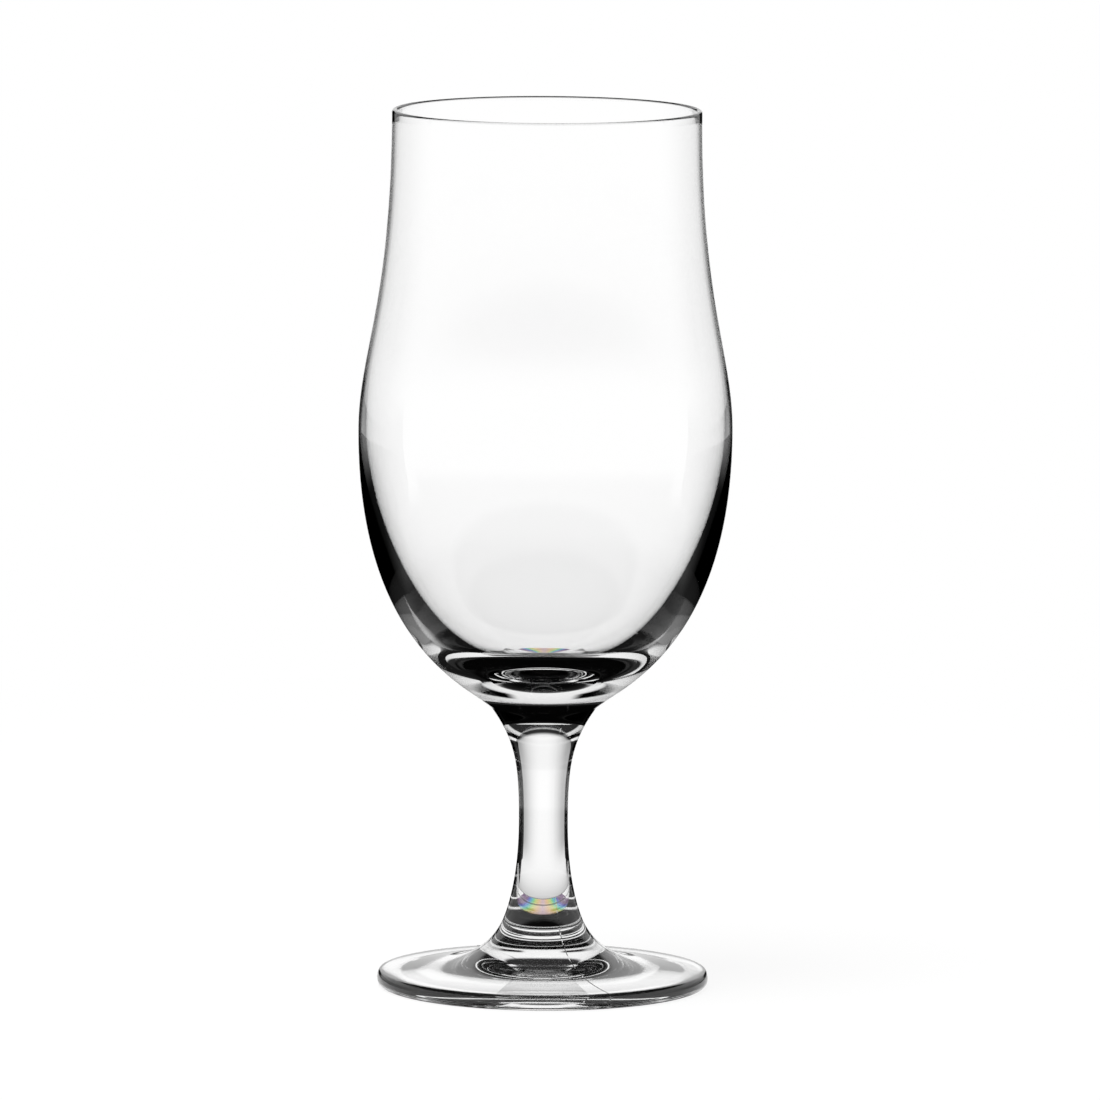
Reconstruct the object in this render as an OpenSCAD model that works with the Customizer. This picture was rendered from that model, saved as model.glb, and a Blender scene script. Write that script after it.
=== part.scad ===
// Stemmed tulip beer glass in clear glass: a blown bowl, a drawn stem and a pressed foot,
// fused hot at two flat welds. The axis is Z and the foot stands on Z = 0. Millimetres.

/* [Bowl, outside] */
// Height of the rim above the table
glass_h = 177; // [168:0.5:190]
// Outside diameter at the rim
rim_d = 62.1; // [58:0.1:66]
// How far the neck stays upright below the rim before it swells
neck_pull = 38.4; // [30:0.2:44]
// Outside diameter at the belly, the widest place
belly_d = 75.1; // [70:0.1:80]
// Height of the belly above the table
belly_z = 112.5; // [106:0.5:118]
// Roundness of the shoulder above the belly
shoulder_pull = 15.5; // [10:0.5:22]
// Roundness of the bowl below the belly
heel_pull = 43; // [38:0.5:47]

/* [Bowl, inside] */
// Wall at the rim, which fire polishing rounds over its whole thickness
rim_t = 1.1; // [0.9:0.05:1.8]
// Wall where the inside is widest
belly_t = 1.5; // [1.1:0.05:2.2]
// Height of the widest inside above the belly
belly_rise = 1.1; // [0:0.1:4]
// How far the inside stays upright below its widest place
inner_pull = 19.1; // [14:0.1:24]
// Inside diameter where the wall turns in to the floor
turn_d = 41.2; // [38:0.2:42.4]
// Height of that turn above the middle of the floor
turn_rise = 6.6; // [5:0.1:8]
// Lean of the inside as it passes the turn, from upright
turn_lean = 46; // [42:1:52]
// Length over which the wall runs down to the turn
turn_above = 10.4; // [7:0.1:13]
// Length over which the turn runs on to the floor
turn_below = 5.2; // [3:0.1:7]
// Breadth of the level floor inside the bowl
floor_pull = 9.5; // [6:0.1:13]
// Solid glass between the floor of the bowl and the weld
base_t = 8.9; // [7:0.1:10.5]

/* [Weld of bowl and stem] */
// Height of the weld above the table
weld_z = 56.5; // [52:0.5:60]
// Diameter of the weld
weld_d = 21.2; // [18:0.1:24]
// Lean of the bowl just above the weld, from upright
bowl_lean = 50; // [40:1:56]
// Length over which the bowl turns towards the weld
bowl_tail = 6.5; // [4:0.1:8]
// Lean of the stem just below the weld, from upright
stem_lean = 36; // [30:0.5:44]

/* [Stem] */
// Length over which the stem flares to the weld
stem_flare = 8.8; // [6:0.1:10]
// Diameter at the waist, the thinnest place
waist_d = 9.86; // [8.5:0.02:11]
// Height of the waist above the table
waist_z = 33.2; // [30:0.1:36]
// How far the waist stays slender above its thinnest place
waist_rise = 10.8; // [7:0.1:13]
// How far the waist stays slender below its thinnest place
waist_drop = 12.6; // [8:0.1:15]

/* [Weld of stem and foot] */
// Height of the weld above the table
joint_z = 12.7; // [11.5:0.1:14]
// Diameter of the weld
joint_d = 16.6; // [15:0.1:18.5]
// Lean of the flare as it passes the weld, from upright
joint_lean = 25.6; // [20:0.2:32]
// Length over which the stem turns towards the weld
stem_tail = 1.6; // [1:0.1:3]

/* [Foot] */
// Outside diameter of the foot
foot_d = 66.7; // [60:0.1:72]
// Thickness of the foot at its edge
edge_t = 3.1; // [2.5:0.1:4]
// Height of the widest place on the rounded edge
edge_z = 1.4; // [1:0.1:1.9]
// Width of the rounding on top of the edge
edge_top = 0.75; // [0.5:0.05:1.4]
// Width of the rounding under the edge
edge_under = 1.15; // [0.7:0.05:1.8]
// Length over which the flare runs out from the weld
flare_pull = 6.6; // [5:0.1:8]
// Length over which the top of the foot stays nearly level
top_pull = 15.5; // [10:0.1:18]
// Slope of the top of the foot at its edge
top_slope = 2.3; // [1:0.1:4]
// Width of the flat ring that the glass stands on
ring_w = 3.6; // [2.5:0.1:6]
// Height of the hollow under the middle of the foot
hollow_h = 3; // [1.6:0.1:3.6]

/* [Hidden] */
$fn = 96;
// Straight pieces to each curve of a profile
steps = 20;
// Handle that makes a cubic curve follow a quarter of an ellipse
quarter = 0.5523;

rim_r = rim_d / 2;
belly_r = belly_d / 2;
weld_r = weld_d / 2;
waist_r = waist_d / 2;
joint_r = joint_d / 2;
foot_r = foot_d / 2;

// Profile points are [radius, height]
rim_c = [rim_r - rim_t / 2, glass_h - rim_t / 2];
rim_outer = [rim_r, rim_c[1]];
rim_inner = [rim_r - rim_t, rim_c[1]];
belly_outer = [belly_r, belly_z];
belly_inner = [belly_r - belly_t, belly_z + belly_rise];
floor_c = [0, weld_z + base_t];
turn_edge = [turn_d / 2, floor_c[1] + turn_rise];
weld_edge = [weld_r, weld_z];
waist = [waist_r, waist_z];
joint_edge = [joint_r, joint_z];
edge_start = [foot_r - edge_top, edge_t];
edge_widest = [foot_r, edge_z];
ring_outer_r = foot_r - edge_under;
ring_inner_r = ring_outer_r - ring_w;

// Step along a direction that leans outwards from upright
function along(length, lean) = length * [sin(lean), cos(lean)];
function up(length) = [0, length];
function out(length) = [length, 0];

// Cubic curve from a to d, leaving towards b and arriving from c
function cubic(a, b, c, d, t) =
  pow(1 - t, 3) * a + 3 * pow(1 - t, 2) * t * b + 3 * (1 - t) * t * t * c + pow(t, 3) * d;
// Points of that curve after its first, so that curves chain without repeats
function curve(a, b, c, d) = [for (i = [1:steps]) cubic(a, b, c, d, i / steps)];

// The outside of the bowl, from the weld up to the rim
function bowl_outside() = concat(
  [weld_edge],
  curve(weld_edge, weld_edge + along(bowl_tail, bowl_lean), belly_outer - up(heel_pull), belly_outer),
  curve(belly_outer, belly_outer + up(shoulder_pull), rim_outer - up(neck_pull), rim_outer));

// The full round that fire polishing leaves on the rim
function rim_round() = [
  for (i = [1:steps]) rim_c + rim_t / 2 * [cos(180 * i / steps), sin(180 * i / steps)]];

// The inside of the bowl, from the rim down to the middle of the floor
function bowl_inside() = concat(
  curve(rim_inner, rim_inner - up(neck_pull), belly_inner + up(shoulder_pull), belly_inner),
  curve(belly_inner, belly_inner - up(inner_pull), turn_edge + along(turn_above, turn_lean), turn_edge),
  curve(turn_edge, turn_edge - along(turn_below, turn_lean), floor_c + out(floor_pull), floor_c));

// The stem, from the foot up through its waist to the bowl
function stem_side() = concat(
  [joint_edge],
  curve(joint_edge, joint_edge + along(stem_tail, -joint_lean), waist - up(waist_drop), waist),
  curve(waist, waist + up(waist_rise), weld_edge - along(stem_flare, stem_lean), weld_edge));

// The flare and top of the foot, from the stem out to the edge
function foot_top() = concat(
  [joint_edge],
  curve(joint_edge, joint_edge - along(flare_pull, -joint_lean),
    edge_start + along(top_pull, top_slope - 90), edge_start));

// The rounded edge, from the top of the foot to the ring it stands on
function foot_edge() = concat(
  curve(edge_start, edge_start + out(quarter * edge_top),
    edge_widest + up(quarter * (edge_t - edge_z)), edge_widest),
  curve(edge_widest, edge_widest - up(quarter * edge_z),
    [ring_outer_r, 0] + out(quarter * edge_under), [ring_outer_r, 0]));

// The shallow hollow under the foot, from the ring in to the axis
function foot_hollow() = [
  for (i = [0:steps]) [ring_inner_r * (1 - i / steps), hollow_h * (1 - pow(1 - i / steps, 2))]];

// Blown bowl whose wall swells from the thin rim into the thick heel
module bowl() {
  color("lightcyan")
    rotate_extrude()
      polygon(concat([[0, weld_z]], bowl_outside(), rim_round(), bowl_inside()));
}

// Solid stem with a slender waist between its two flares
module stem() {
  color("lightblue")
    rotate_extrude()
      polygon(concat([[0, joint_z]], stem_side(), [[0, weld_z]]));
}

// Disc foot with a rounded edge, a flat ring to stand on and a hollow underside
module foot() {
  color("paleturquoise")
    rotate_extrude()
      polygon(concat([[0, joint_z]], foot_top(), foot_edge(), foot_hollow()));
}

bowl();
stem();
foot();
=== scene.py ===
import math

import bmesh
import bpy
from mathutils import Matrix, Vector
from mathutils.geometry import interpolate_bezier


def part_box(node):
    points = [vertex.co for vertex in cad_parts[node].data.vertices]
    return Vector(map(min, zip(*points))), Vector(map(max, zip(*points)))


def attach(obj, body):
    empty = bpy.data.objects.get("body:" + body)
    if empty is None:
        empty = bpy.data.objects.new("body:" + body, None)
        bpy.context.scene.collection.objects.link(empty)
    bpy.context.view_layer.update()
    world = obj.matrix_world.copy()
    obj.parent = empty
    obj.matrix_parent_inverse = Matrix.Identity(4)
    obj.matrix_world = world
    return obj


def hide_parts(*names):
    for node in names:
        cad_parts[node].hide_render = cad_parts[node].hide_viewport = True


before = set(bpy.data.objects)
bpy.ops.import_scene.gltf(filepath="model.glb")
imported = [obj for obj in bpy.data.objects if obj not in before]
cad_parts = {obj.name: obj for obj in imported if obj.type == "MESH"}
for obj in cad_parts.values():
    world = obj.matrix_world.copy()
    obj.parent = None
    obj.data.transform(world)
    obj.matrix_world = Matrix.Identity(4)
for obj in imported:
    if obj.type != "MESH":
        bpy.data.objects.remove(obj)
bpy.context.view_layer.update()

scene = bpy.context.scene

# Bowl
# Blown in clear soda glass. The lip is fire polished to a full round, the thin wall swells
# below the belly into a heavy heel, and the heel is fused to the stem while both are hot.
MM = 0.001
TURN_STEPS = 192
bowl_low, bowl_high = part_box("bowl")
rim_z = bowl_high.z
belly_r = bowl_high.x
weld_z = bowl_low.z
rim_r = 31.05 * MM
rim_wall = 1.1 * MM
neck_pull = 38.4 * MM
belly_z = 112.5 * MM
shoulder_pull = 15.5 * MM
heel_pull = 43 * MM
belly_wall = 1.5 * MM
belly_rise = 1.1 * MM
inner_pull = 19.1 * MM
turn_r = 20.6 * MM
turn_rise = 6.6 * MM
turn_lean = math.radians(46)
turn_above = 10.4 * MM
turn_below = 5.2 * MM
floor_pull = 9.5 * MM
heel_glass = 8.9 * MM
weld_r = 10.6 * MM
bowl_tail = 6.5 * MM
bowl_lean = math.radians(50)
QUARTER = 0.5523
heel_steps = 64
neck_steps = 48
lip_steps = 8
inner_steps = 56
floor_steps = 32
wave_scale = 70
wave_detail = 1
wave_strength = 0.3
wave_high = 0.05 * MM
wipe_scale = 160
wipe_detail = 3
wipe_from = 0.55
wipe_to = 0.8
wipe_haze = 0.02
glass_ior = 1.52
sharp_edge = math.radians(25)
merge_near = 1e-7
sliver = 1e-8
level_face = 0.999
weld_slack = 0.01 * MM


def at(radius, height):
    """A point of a turned outline, which lies in the XZ plane."""
    return Vector((radius, 0, height))


def along(length, lean):
    """A step that leans outwards from upright."""
    return length * Vector((math.sin(lean), 0, math.cos(lean)))


def up(length):
    return Vector((0, 0, length))


def out(length):
    return Vector((length, 0, 0))


def outline(*curves):
    """Points of cubic curves that follow each other; each is four handles and a count of points."""
    points = []
    for start, leave, arrive, end, count in curves:
        run = interpolate_bezier(start, leave, arrive, end, count)
        points += run[1:] if points and points[-1] == start else run
    return points


def turned(name, points, seam=None):
    """A closed piece turned about Z from an outline that starts and ends on the axis. Where seam
    gives two heights, the piece has its mould seams between them."""
    bm = bmesh.new()
    verts = [bm.verts.new(point) for point in points]
    edges = [bm.edges.new(pair) for pair in zip(verts, verts[1:])]
    bmesh.ops.spin(
        bm, geom=verts + edges, axis=(0, 0, 1), cent=(0, 0, 0),
        angle=math.tau, steps=TURN_STEPS, use_merge=True)
    bmesh.ops.remove_doubles(bm, verts=bm.verts, dist=merge_near)
    bmesh.ops.dissolve_degenerate(bm, edges=bm.edges, dist=sliver)
    bmesh.ops.recalc_face_normals(bm, faces=bm.faces)
    if seam:
        raise_seams(bm, *seam)
    for face in bm.faces:
        face.smooth = True
    mesh = bpy.data.meshes.new(name)
    bm.to_mesh(mesh)
    bm.free()
    piece = bpy.data.objects.new(name, mesh)
    scene.collection.objects.link(piece)
    return piece


def clear_glass(name, roughness=0):
    """Clear glass, a little uneven as hot glass sets, with a faint haze of wiping marks."""
    material = bpy.data.materials.new(name)
    material.use_nodes = True
    tree = material.node_tree
    shader = tree.nodes["Principled BSDF"]
    place = tree.nodes.new("ShaderNodeTexCoord")
    waves = tree.nodes.new("ShaderNodeTexNoise")
    waves.inputs["Scale"].default_value = wave_scale
    waves.inputs["Detail"].default_value = wave_detail
    uneven = tree.nodes.new("ShaderNodeBump")
    uneven.inputs["Strength"].default_value = wave_strength
    uneven.inputs["Distance"].default_value = wave_high
    wipes = tree.nodes.new("ShaderNodeTexNoise")
    wipes.inputs["Scale"].default_value = wipe_scale
    wipes.inputs["Detail"].default_value = wipe_detail
    haze = tree.nodes.new("ShaderNodeMapRange")
    for label, number in (
            ("From Min", wipe_from), ("From Max", wipe_to),
            ("To Min", roughness), ("To Max", roughness + wipe_haze)):
        haze.inputs[label].default_value = number
    for texture in (waves, wipes):
        tree.links.new(place.outputs["Object"], texture.inputs["Vector"])
    tree.links.new(waves.outputs[0], uneven.inputs["Height"])
    tree.links.new(uneven.outputs["Normal"], shader.inputs["Normal"])
    tree.links.new(wipes.outputs[0], haze.inputs["Value"])
    tree.links.new(haze.outputs[0], shader.inputs["Roughness"])
    shader.inputs["Base Color"].default_value = (1, 1, 1, 1)
    shader.inputs["Transmission Weight"].default_value = 1
    shader.inputs["IOR"].default_value = glass_ior
    return material


def fused_face():
    """Nothing is seen where two hot pieces have run together."""
    material = bpy.data.materials.new("fused_face")
    material.use_nodes = True
    tree = material.node_tree
    tree.nodes.clear()
    seen = tree.nodes.new("ShaderNodeOutputMaterial")
    through = tree.nodes.new("ShaderNodeBsdfTransparent")
    tree.links.new(through.outputs[0], seen.inputs["Surface"])
    return material


def dress(piece, glass, *weld_heights):
    """Gives a piece its glass, hides its welds and attaches it to the root body."""
    piece.data.materials.append(glass)
    piece.data.materials.append(fused)
    weld_slot = len(piece.data.materials) - 1
    for face in piece.data.polygons:
        level = abs(face.normal.z) > level_face
        if level and any(abs(face.center.z - z) < weld_slack for z in weld_heights):
            face.material_index = weld_slot
    piece.data.set_sharp_from_angle(angle=sharp_edge)
    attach(piece, "root")


weld = at(weld_r, weld_z)
belly = at(belly_r, belly_z)
lip_z = rim_z - rim_wall / 2
lip_out = at(rim_r, lip_z)
lip_top = at(rim_r - rim_wall / 2, rim_z)
lip_in = at(rim_r - rim_wall, lip_z)
belly_in = at(belly_r - belly_wall, belly_z + belly_rise)
bowl_floor = at(0, weld_z + heel_glass)
turn = at(turn_r, bowl_floor.z + turn_rise)
lip_curve = QUARTER * rim_wall / 2
bowl_points = [at(0, weld_z)] + outline(
    (weld, weld + along(bowl_tail, bowl_lean), belly - up(heel_pull), belly, heel_steps),
    (belly, belly + up(shoulder_pull), lip_out - up(neck_pull), lip_out, neck_steps),
    (lip_out, lip_out + up(lip_curve), lip_top + out(lip_curve), lip_top, lip_steps),
    (lip_top, lip_top - out(lip_curve), lip_in + up(lip_curve), lip_in, lip_steps),
    (lip_in, lip_in - up(neck_pull), belly_in + up(shoulder_pull), belly_in, neck_steps),
    (belly_in, belly_in - up(inner_pull), turn + along(turn_above, turn_lean), turn, inner_steps),
    (turn, turn - along(turn_below, turn_lean),
     bowl_floor + out(floor_pull), bowl_floor, floor_steps))
fused = fused_face()
bowl = turned("blown_bowl", bowl_points)
dress(bowl, clear_glass("bowl_glass"), weld_z)
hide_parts("bowl")

# Stem
# A solid glass stem, slender at the waist and flared to the bowl above and to the foot below. It is
# fused to both, so no line of the joint shows. Its two-part mould leaves a fine seam on two sides.
joint_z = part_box("stem")[0].z
joint_r = 8.3 * MM
joint_lean = math.radians(25.6)
stem_tail = 1.6 * MM
stem_lean = math.radians(36)
stem_flare = 8.8 * MM
waist_r = 4.93 * MM
waist_z = 33.2 * MM
waist_rise = 10.8 * MM
waist_drop = 12.6 * MM
stem_steps = 48
seam_turn = math.radians(24)
seam_half = 0.13 * MM
seam_lift = 0.07 * MM
seam_from = 3 * MM
seam_slope = -0.5
seam_near = 0.001 * MM


def raise_seams(bm, low, high):
    """Cuts three close lines along the plane where the mould parted and lifts the middle one, but
    not on an underside."""
    parting = Vector((math.cos(seam_turn), math.sin(seam_turn), 0))
    for shift in (-seam_half, 0, seam_half):
        bmesh.ops.bisect_plane(
            bm, geom=bm.verts[:] + bm.edges[:] + bm.faces[:], dist=merge_near,
            plane_co=shift * parting, plane_no=parting)
    bm.normal_update()
    ridge = [vert for vert in bm.verts
             if abs(vert.co.dot(parting)) < seam_near and low <= vert.co.z <= high
             and vert.co.xy.length > seam_from and vert.normal.z > seam_slope]
    for vert, lift in [(vert, seam_lift * vert.normal) for vert in ridge]:
        vert.co += lift


joint = at(joint_r, joint_z)
waist = at(waist_r, waist_z)
stem_points = [at(0, joint_z)] + outline(
    (joint, joint + along(stem_tail, -joint_lean), waist - up(waist_drop), waist, stem_steps),
    (waist, waist + up(waist_rise), weld - along(stem_flare, stem_lean), weld, stem_steps))
stem_points.append(at(0, weld_z))
stem = turned("drawn_stem", stem_points, seam=(joint_z + seam_half, weld_z - seam_half))
dress(stem, clear_glass("stem_glass"), weld_z, joint_z)
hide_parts("stem")

# Foot
# A pressed glass disc that flares up into the stem. Its edge is fire polished round, and it
# stands on a flat ring about a shallow hollow, so it doesn't rock.
foot_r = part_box("foot")[1].x
edge_thick = 3.1 * MM
edge_z = 1.4 * MM
edge_top = 0.75 * MM
edge_under = 1.15 * MM
flare_pull = 6.6 * MM
top_pull = 15.5 * MM
top_slope = math.radians(2.3)
ring_wide = 3.6 * MM
hollow_high = 3 * MM
flare_steps = 64
edge_steps = 9
hollow_steps = 40
under_roughness = 0.05
under_slope = -0.5

edge_start = at(foot_r - edge_top, edge_thick)
edge_widest = at(foot_r, edge_z)
ring_out = at(foot_r - edge_under, 0)
ring_in = ring_out - out(ring_wide)
hollow_top = at(0, hollow_high)
# The two handles that make one cubic curve follow the hollow's parabola
hollow_leave = at(ring_in.x * 2 / 3, hollow_high * 2 / 3)
hollow_arrive = at(ring_in.x / 3, hollow_high)
foot_points = [at(0, joint_z)] + outline(
    (joint, joint - along(flare_pull, -joint_lean),
     edge_start + along(top_pull, top_slope - math.pi / 2), edge_start, flare_steps),
    (edge_start, edge_start + out(QUARTER * edge_top),
     edge_widest + up(QUARTER * (edge_thick - edge_z)), edge_widest, edge_steps),
    (edge_widest, edge_widest - up(QUARTER * edge_z),
     ring_out + out(QUARTER * edge_under), ring_out, edge_steps),
    (ring_in, hollow_leave, hollow_arrive, hollow_top, hollow_steps))
foot = turned("pressed_foot", foot_points, seam=(edge_z, joint_z - seam_half))
dress(foot, clear_glass("foot_glass"), joint_z)
foot.data.materials.append(clear_glass("foot_under", under_roughness))
under_slot = len(foot.data.materials) - 1
for face in foot.data.polygons:
    if face.normal.z < under_slope and face.center.xy.length < ring_out.x:
        face.material_index = under_slot
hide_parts("foot")

# Floor
# A white table. The camera sees it white, with the glass's soft shadow on it. To the glass it glows
# with painted shade: white far off, and darker close by and from above, painted where the glass
# and the black cards would shade it, and darker by how often light crossed and mirrored in the
# glass.
floor_half = 15
floor_sink = 0.05 * MM
table_colour = (0.95, 0.95, 0.95, 1)
shadow_share = 0.12
shadow_near = 0.1
shadow_far = 0.45
steep_dark = 0.04
steep_from = 0.3
level_from = 0.75
mirrored_steep = 0.47
mirrored_level = 0.6
shade_r = 75 * MM
shade_mirrors = 3
front_dark = -30 * MM
front_near = 0.25
front_far = 0.4
bowl_faces = 4


def node(tree, kind, **settings):
    made = tree.nodes.new("ShaderNode" + kind)
    for name, value in settings.items():
        setattr(made, name, value)
    return made


def feed(tree, socket, value):
    """Links a socket to another, or sets it to a number."""
    if isinstance(value, (int, float)):
        socket.default_value = value
    else:
        tree.links.new(value, socket)


def reckon(tree, operation, *values):
    made = node(tree, "Math", operation=operation)
    for socket, value in zip(made.inputs, values):
        feed(tree, socket, value)
    return made.outputs[0]


def product(tree, first, *others):
    for other in others:
        first = reckon(tree, "MULTIPLY", first, other)
    return first


def largest(tree, first, *others):
    for other in others:
        first = reckon(tree, "MAXIMUM", first, other)
    return first


def rest_of(tree, share):
    return reckon(tree, "SUBTRACT", 1, share)


def at_least(tree, count, least):
    """One where a whole count is so high, and otherwise nought."""
    return reckon(tree, "GREATER_THAN", count, least - 0.5)


def at_most(tree, count, most):
    return reckon(tree, "LESS_THAN", count, most + 0.5)


def fade(tree, value, start, end, low, high):
    """Goes smoothly from low at start to high at end."""
    made = node(tree, "MapRange", interpolation_type="SMOOTHSTEP")
    for name, number in (("From Min", start), ("From Max", end), ("To Min", low), ("To Max", high)):
        made.inputs[name].default_value = number
    feed(tree, made.inputs["Value"], value)
    return made.outputs[0]


def light_counts(path):
    """How many faces of glass light crossed, and how often one mirrored it."""
    return path.outputs["Transmission Depth"], path.outputs["Glossy Depth"]


def slope_aside(tree, across, ahead):
    """How far aside of straight back a place or a direction lies, as a slope."""
    aside = reckon(tree, "ABSOLUTE", across)
    return reckon(tree, "DIVIDE", aside, reckon(tree, "MAXIMUM", ahead, MM))


# Painted shade: light that the glass mirrors once, outside or in its wall, is darkest a little to
# the side
side_from = 0.14
side_dark = 0.22
side_limit = 0.46
side_soft = 0.08
side_dim = 0.45
side_ahead = 0.1
side_begun = 0.6
near_limit = 20
near_side = 0.3
far_side = 1


def painted_shade_aside(tree, crossed, mirrors, across, ahead, limit, begun):
    """The share of painted shade on light mirrored once: most between the first slopes and a limit.
    """
    slope = slope_aside(tree, across, ahead)
    past = reckon(tree, "SUBTRACT", slope, limit)
    return product(
        tree, fade(tree, slope, side_from, side_dark, 0, 1),
        fade(tree, past, -side_soft, side_soft, 1, side_dim), fade(tree, ahead, 0, begun, 0, 1),
        at_least(tree, mirrors, 1), at_most(tree, mirrors, 1),
        at_most(tree, crossed, bowl_faces - 1))


# Painted shade: light that the solid stem bends, and that nothing mirrors, is darker the farther it
# is bent
bent_from = 0.05
bent_to = 0.85
bent_dim = 0.55
bent_near = 45 * MM
bent_far = 60 * MM
bent_steep = 0.65
bent_level = 0.8


def painted_shade_bending(tree, crossed, mirrors, across, ahead):
    slope = slope_aside(tree, across, ahead)
    return product(
        tree, fade(tree, slope, bent_from, bent_to, 0, bent_dim),
        fade(tree, ahead, 0, side_ahead, 0, 1), at_most(tree, mirrors, 0),
        at_least(tree, crossed, 1), at_most(tree, crossed, bowl_faces - 1))


# Painted shade: light that runs far along inside a wall is an even grey, darker the farther it ran
guided_from = 9
guided_to = 16
guided_light = 0.3


def guided(tree, mirrors, value):
    grey = fade(tree, mirrors, guided_from, guided_to, guided_light, 0)
    far_run = at_least(tree, mirrors, guided_from)
    return reckon(tree, "MULTIPLY_ADD", far_run, reckon(tree, "SUBTRACT", grey, value), value)


# Painted light: bands of colour on the table below the back of the foot, standing in for the
# colours into which the real stem spreads light. Only light that comes through the stem and the
# foot shows them.
band_r = 40 * MM
band_wide = 10 * MM
band_reach = 14 * MM
band_places = (0, 0.2, 0.38, 0.5, 0.64, 0.78, 0.92)
painted_band_colours = ((0.6, 0.42, 0.5), (0.75, 0.48, 0.2), (0.5, 0.6, 0.1), (0.08, 0.55, 0.22),
                (0.02, 0.32, 0.6), (0.05, 0.05, 0.45), (0.12, 0.03, 0.14))
# Sockets of a colour Mix node: its first and second colour, and what it gives
MIX_WHITE = 6
MIX_COLOUR = 7
MIXED = 2


def painted_band_tint(tree, place_x, place_y, away, through):
    """White, or the painted colours of the band from its middle outwards, for light straight
    through.
    """
    aside = reckon(tree, "ABSOLUTE", place_x)
    bands = node(tree, "ValToRGB")
    stops = bands.color_ramp.elements
    stops.remove(stops[-1])
    for number, (place, colour) in enumerate(zip(band_places, painted_band_colours)):
        stop = stops.new(place) if number else stops[0]
        stop.color = (*colour, 1)
    feed(tree, bands.inputs["Fac"], reckon(tree, "DIVIDE", aside, band_wide))
    tint = node(tree, "Mix", data_type="RGBA")
    feed(tree, tint.inputs[0], product(
        tree, through, reckon(tree, "LESS_THAN", away, band_r),
        reckon(tree, "GREATER_THAN", place_y, 0), reckon(tree, "LESS_THAN", aside, band_reach)))
    tint.inputs[MIX_WHITE].default_value = (1, 1, 1, 1)
    tree.links.new(bands.outputs["Color"], tint.inputs[MIX_COLOUR])
    return tint.outputs[MIXED]


def plain_sheet(name, corners):
    """One flat face, for the floor and the cards."""
    bm = bmesh.new()
    bm.faces.new([bm.verts.new(corner) for corner in corners])
    mesh = bpy.data.meshes.new(name)
    bm.to_mesh(mesh)
    bm.free()
    sheet = bpy.data.objects.new(name, mesh)
    scene.collection.objects.link(sheet)
    return sheet


floor = plain_sheet("table", [
    (x * floor_half, y * floor_half, -floor_sink) for x, y in ((-1, -1), (1, -1), (1, 1), (-1, 1))])
white_table_painted_shade = bpy.data.materials.new("white_table_painted_shade")
white_table_painted_shade.use_nodes = True
tree = white_table_painted_shade.node_tree
tree.nodes.clear()
seen = node(tree, "OutputMaterial")
path = node(tree, "LightPath")
crossed, mirrors = light_counts(path)
slant = node(tree, "LayerWeight").outputs["Facing"]
position = node(tree, "NewGeometry").outputs["Position"]
length = node(tree, "VectorMath", operation="LENGTH")
tree.links.new(position, length.inputs[0])
away = length.outputs["Value"]
parts = node(tree, "SeparateXYZ")
tree.links.new(position, parts.inputs[0])
place_x = parts.outputs["X"]
place_y = parts.outputs["Y"]

# Painted shade by slant: white to light that comes in low, dark to light that comes in steeply
level = fade(tree, slant, steep_from, level_from, steep_dark, 1)
mirrored_low = fade(tree, slant, mirrored_steep, mirrored_level, steep_dark, 1)
level = product(tree, level, largest(tree, mirrored_low, at_most(tree, mirrors, 0)))

# Painted shade round the foot: dark to light that was mirrored often
painted_shade_round_foot = product(
    tree, at_least(tree, mirrors, shade_mirrors), reckon(tree, "LESS_THAN", away, shade_r))

# Painted shade aside, to light from the outside of the glass anywhere and from inside it far off
limit = fade(tree, away, near_side, far_side, near_limit, side_limit)
heading = reckon(tree, "DIVIDE", place_y, away)
aside = product(
    tree, painted_shade_aside(tree, crossed, mirrors, place_x, place_y, limit, side_ahead),
    largest(tree, at_most(tree, crossed, 0), fade(tree, away, near_side, far_side, 0, 1)),
    fade(tree, heading, 0, side_begun, 0, 1))
# Painted shade where the stem bent light
bent = product(
    tree, painted_shade_bending(tree, crossed, mirrors, place_x, place_y),
    fade(tree, away, bent_near, bent_far, 0, 1), fade(tree, slant, bent_steep, bent_level, 0, 1))

# Painted shade in front of the glass: dark to mirrored light, but not to what the bowl's two walls
# mirror once
bowl_once = product(tree, at_least(tree, crossed, bowl_faces), at_most(tree, mirrors, 1))
painted_shade_in_front = product(
    tree, fade(tree, place_y, front_dark, 0, 1, 0), fade(tree, away, front_near, front_far, 1, 0),
    at_least(tree, mirrors, 1), at_least(tree, crossed, 1), rest_of(tree, bowl_once))
# All the painted shade on the table, as one share
painted_shade_share = largest(tree, painted_shade_round_foot, aside, bent, painted_shade_in_front)

# White to the camera, and to light that went straight through the bowl
through = product(tree, at_least(tree, crossed, bowl_faces), at_most(tree, mirrors, 0))
glow = node(tree, "Emission")
feed(tree, glow.inputs["Strength"], largest(
    tree, product(tree, guided(tree, mirrors, level), rest_of(tree, painted_shade_share)),
    through, path.outputs["Is Camera Ray"]))
tree.links.new(painted_band_tint(tree, place_x, place_y, away, through), glow.inputs["Color"])

# A share of plain matt table near the glass lets its shadow show to the camera
matt = node(tree, "BsdfDiffuse")
matt.inputs["Color"].default_value = table_colour
shaded = node(tree, "MixShader")
shadow = fade(tree, away, shadow_near, shadow_far, shadow_share, 0)
feed(tree, shaded.inputs["Fac"], product(tree, path.outputs["Is Camera Ray"], shadow))
tree.links.new(glow.outputs[0], shaded.inputs[1])
tree.links.new(matt.outputs[0], shaded.inputs[2])
tree.links.new(shaded.outputs[0], seen.inputs["Surface"])
floor.data.materials.append(white_table_painted_shade)

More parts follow.
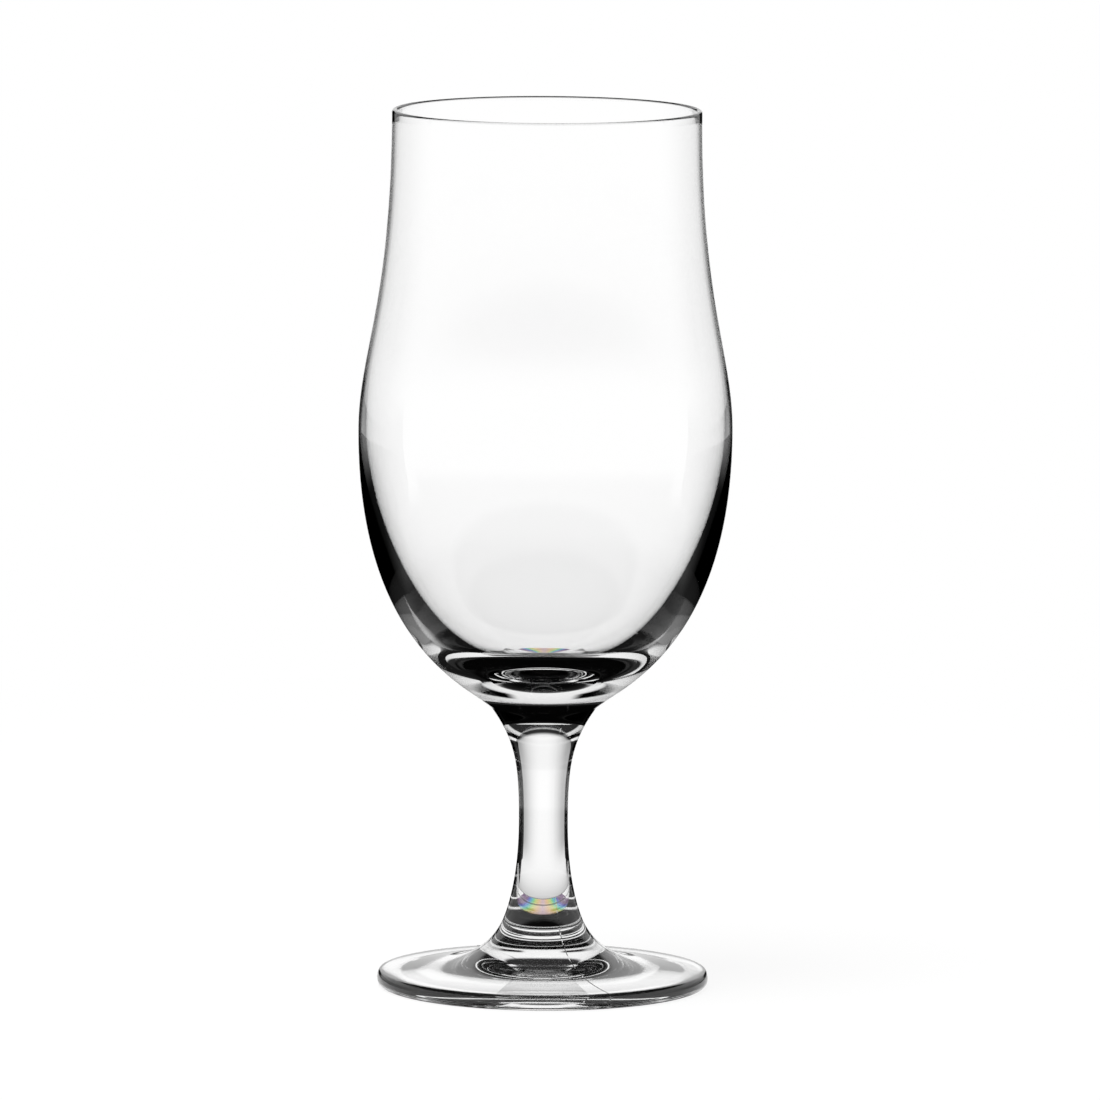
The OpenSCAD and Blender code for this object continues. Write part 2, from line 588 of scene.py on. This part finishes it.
# Cards
# Two black cards stand close beside the glass, out of the picture, as painted dark reflections:
# only what the glass bends aside falls on them, and that draws the dark lines along its edges.
card_high = 300 * MM
card_front = 0
card_soft = 14 * MM
card_clear = 128 * MM
card_solid = 95 * MM
right_card_x = 55 * MM
right_card_end = 66 * MM
left_card_x = -60 * MM
left_card_end = 56 * MM
painted_dark_value = 0.01


def painted_dark_sheet(name, clear_above, solid_below, least_mirrors=0, most_mirrors=None, front=None):
    """A painted dark reflection: black to light that crossed one to three faces of glass and was
    mirrored so many times, and clear to all other light. It fades out upwards and, where a front is
    given, towards that."""
    material = bpy.data.materials.new(name)
    material.use_nodes = True
    tree = material.node_tree
    tree.nodes.clear()
    seen = node(tree, "OutputMaterial")
    crossed, mirrors = light_counts(node(tree, "LightPath"))
    shown = product(
        tree, at_least(tree, crossed, 1), at_most(tree, crossed, bowl_faces - 1),
        at_least(tree, mirrors, least_mirrors))
    if most_mirrors is not None:
        shown = product(tree, shown, at_most(tree, mirrors, most_mirrors))
    parts = node(tree, "SeparateXYZ")
    tree.links.new(node(tree, "NewGeometry").outputs["Position"], parts.inputs[0])
    shown = product(tree, shown, fade(tree, parts.outputs["Z"], solid_below, clear_above, 1, 0))
    if front is not None:
        shown = product(tree, shown, fade(tree, parts.outputs["Y"], front, front + card_soft, 0, 1))
    glow = node(tree, "Emission")
    glow.inputs["Strength"].default_value = painted_dark_value
    passed = node(tree, "BsdfTransparent")
    mixed = node(tree, "MixShader")
    feed(tree, mixed.inputs["Fac"], shown)
    tree.links.new(passed.outputs[0], mixed.inputs[1])
    tree.links.new(glow.outputs[0], mixed.inputs[2])
    tree.links.new(mixed.outputs[0], seen.inputs["Surface"])
    return material


def out_of_picture(sheet, paper):
    sheet.visible_camera = False
    sheet.visible_diffuse = False
    sheet.visible_shadow = False
    sheet.data.materials.append(paper)


def upright_sheet(name, start, end, high):
    return plain_sheet(name, [(*start, 0), (*end, 0), (*end, high), (*start, high)])


card_painted_dark = painted_dark_sheet("card_painted_dark", card_clear, card_solid, most_mirrors=0, front=card_front)
for name, x, back in (
        ("card_right", right_card_x, right_card_end), ("card_left", left_card_x, left_card_end)):
    out_of_picture(upright_sheet(name, (x, card_front), (x, back), card_high), card_painted_dark)

# Flags
# Two low black flags close behind the glass, out of the picture, as painted dark reflections. They
# draw the black band along the thick lower part of the bowl and the black sides of its heel.
flag_y = 31.5 * MM
flag_high = 130 * MM
flag_solid = 85 * MM
flag_far = 300 * MM
right_flag_x = 27 * MM
left_flag_x = -34 * MM
flag_painted_dark = painted_dark_sheet("flag_painted_dark", flag_high, flag_solid)
for name, near, far in (
        ("flag_right", right_flag_x, flag_far), ("flag_left", left_flag_x, -flag_far)):
    out_of_picture(upright_sheet(name, (near, flag_y), (far, flag_y), flag_high), flag_painted_dark)

# Collar
# A low black ring round the foot, out of the picture, as a painted dark reflection. Only light that
# has run along inside the foot meets it, and that draws the foot's dark edge.
collar_r = 40 * MM
collar_high = 10 * MM
collar_mirrors = 3
collar_steps = 96
bm = bmesh.new()
bmesh.ops.create_cone(
    bm, cap_ends=False, segments=collar_steps,
    radius1=collar_r, radius2=collar_r, depth=collar_high)
bmesh.ops.translate(bm, verts=bm.verts, vec=(0, 0, collar_high / 2))
collar_mesh = bpy.data.meshes.new("collar")
bm.to_mesh(collar_mesh)
bm.free()
collar = bpy.data.objects.new("collar", collar_mesh)
scene.collection.objects.link(collar)
collar_painted_dark = painted_dark_sheet(
    "collar_painted_dark", 2 * collar_high, collar_high, least_mirrors=collar_mirrors)
out_of_picture(collar, collar_painted_dark)

# Light
# One large soft lamp overhead and a pale room. The room is white at table height, where
# the glass shows it, and dark higher up. To light from the glass it has painted shade besides:
# lower still for light mirrored more than once, darker aside, where the stem bent light and where
# light ran far inside a wall. The lamp itself doesn't show in the glass.
lamp_size = 1.2
lamp_place = Vector((-0.5, -0.4, 1.8))
lamp_power = 30
ambient = 0.6
room_white_to = 0.45
room_dark_from = 0.55
room_dark = 0.03
mirrored_white_to = 0.14
mirrored_dark_from = 0.24
side_low_to = 0.12
side_high_from = 0.2
most_bounces = 40
crossing_bounces = 24
mirror_bounces = 20
clear_bounces = 32
lamp_data = bpy.data.lights.new("soft_lamp", "AREA")
lamp_data.shape = "DISK"
lamp_data.size = lamp_size
lamp_data.energy = lamp_power
lamp = bpy.data.objects.new("soft_lamp", lamp_data)
lamp.location = lamp_place
lamp.rotation_euler = lamp_place.to_track_quat("Z", "Y").to_euler()
lamp.visible_glossy = False
lamp.visible_transmission = False
scene.collection.objects.link(lamp)

room = bpy.data.worlds.new("room")
room.use_nodes = True
scene.world = room
tree = room.node_tree
tree.nodes.clear()
seen = node(tree, "OutputWorld")
path = node(tree, "LightPath")
crossed, mirrors = light_counts(path)
towards = node(tree, "SeparateXYZ")
tree.links.new(node(tree, "TexCoord").outputs["Generated"], towards.inputs[0])
across = towards.outputs["X"]
ahead = towards.outputs["Y"]
rise = towards.outputs["Z"]

# White low down, and with painted shade lower still for light that was mirrored more than once
height = fade(tree, rise, room_white_to, room_dark_from, 1, room_dark)
mirrored_height = fade(tree, rise, mirrored_white_to, mirrored_dark_from, 1, room_dark)
white = largest(tree, mirrored_height, at_most(tree, mirrors, 1))
# Painted shade aside, where the stem bent light, and where light ran far inside a wall
aside = product(
    tree, painted_shade_aside(tree, crossed, mirrors, across, ahead, side_limit, side_begun),
    fade(tree, rise, side_low_to, side_high_from, 1, 0))
bent = painted_shade_bending(tree, crossed, mirrors, across, ahead)
white = product(tree, white, rest_of(tree, largest(tree, aside, bent)))
white = product(tree, height, guided(tree, mirrors, white))
shown = node(tree, "Background")
shown.inputs["Color"].default_value = (1, 1, 1, 1)
feed(tree, shown.inputs["Strength"], largest(tree, white, path.outputs["Is Camera Ray"]))

# An even pale light for matt surfaces
plain = node(tree, "Background")
plain.inputs["Color"].default_value = (1, 1, 1, 1)
plain.inputs["Strength"].default_value = ambient
lit = node(tree, "MixShader")
tree.links.new(path.outputs["Is Diffuse Ray"], lit.inputs["Fac"])
tree.links.new(shown.outputs[0], lit.inputs[1])
tree.links.new(plain.outputs[0], lit.inputs[2])
tree.links.new(lit.outputs[0], seen.inputs["Surface"])
scene.cycles.max_bounces = most_bounces
scene.cycles.transmission_bounces = crossing_bounces
scene.cycles.glossy_bounces = mirror_bounces
scene.cycles.transparent_max_bounces = clear_bounces
scene.view_settings.view_transform = "Standard"

# Camera
# A long lens a little above the rim, looking slightly down on the glass.
camera_lens = 390.9
camera_sensor = 36
camera_reach = 100
camera_place = Vector((1.04 * MM, -2.378, 0.3906))
camera_dip = 0.12645
camera_roll = math.radians(0.32)
camera_data = bpy.data.cameras.new("camera")
camera_data.lens = camera_lens
camera_data.sensor_width = camera_sensor
camera_data.clip_end = camera_reach
camera = bpy.data.objects.new("camera", camera_data)
camera.location = camera_place
camera.rotation_euler = (math.pi / 2 - camera_dip, 0, 0)
camera.rotation_euler.rotate_axis("Z", camera_roll)
scene.collection.objects.link(camera)
scene.camera = camera
